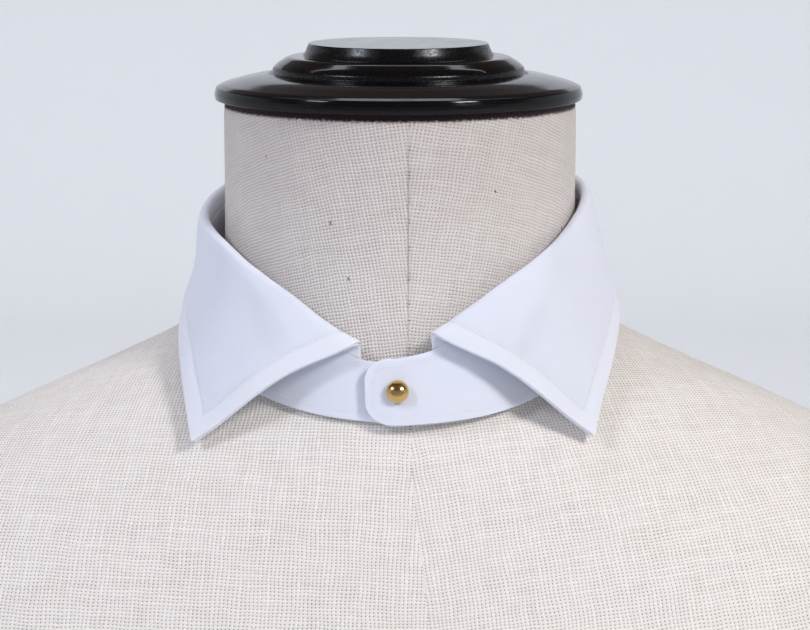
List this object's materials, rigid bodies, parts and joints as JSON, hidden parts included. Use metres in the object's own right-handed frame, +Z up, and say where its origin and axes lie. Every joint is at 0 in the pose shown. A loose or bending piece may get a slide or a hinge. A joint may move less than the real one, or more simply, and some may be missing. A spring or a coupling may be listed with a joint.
{
  "type": "detachable shirt collar on a linen dress form",
  "caption": "Turn-down shirt collar with spread points on its own band, closed by a front stud, shown on a linen bust form with a turned neck cap.",
  "frame": {"origin": "middle of the form's flat underside, on the surface that it stands on", "axes": "+Z up, the front of the collar faces -Y, and +X is the wearer's left"},
  "size_m": [0.4096, 0.2218, 0.4209],
  "materials": {
    "white_cotton": "white cotton poplin, fused and pressed smooth, matte",
    "natural_linen": "natural linen in a coarse open plain weave, matte",
    "form_foam": "matte moulded core, hidden by the linen",
    "plain_board": "plain matte board",
    "black_lacquer": "turned wood in glossy black lacquer",
    "gilt_brass": "polished gilt brass"
  },
  "bodies": {
    "root": {"upper_leaf": "white_cotton", "under_leaf": "white_cotton", "band_outer": "white_cotton", "band_inner": "white_cotton", "front_stud": "gilt_brass", "neck_cover_right": "natural_linen", "neck_cover_left": "natural_linen", "torso_cover_front_right": "natural_linen", "torso_cover_front_left": "natural_linen", "torso_cover_back_right": "natural_linen", "torso_cover_back_left": "natural_linen", "form_body": "form_foam", "base_board": "plain_board", "neck_cap": "black_lacquer"}
  },
  "joints": []
}
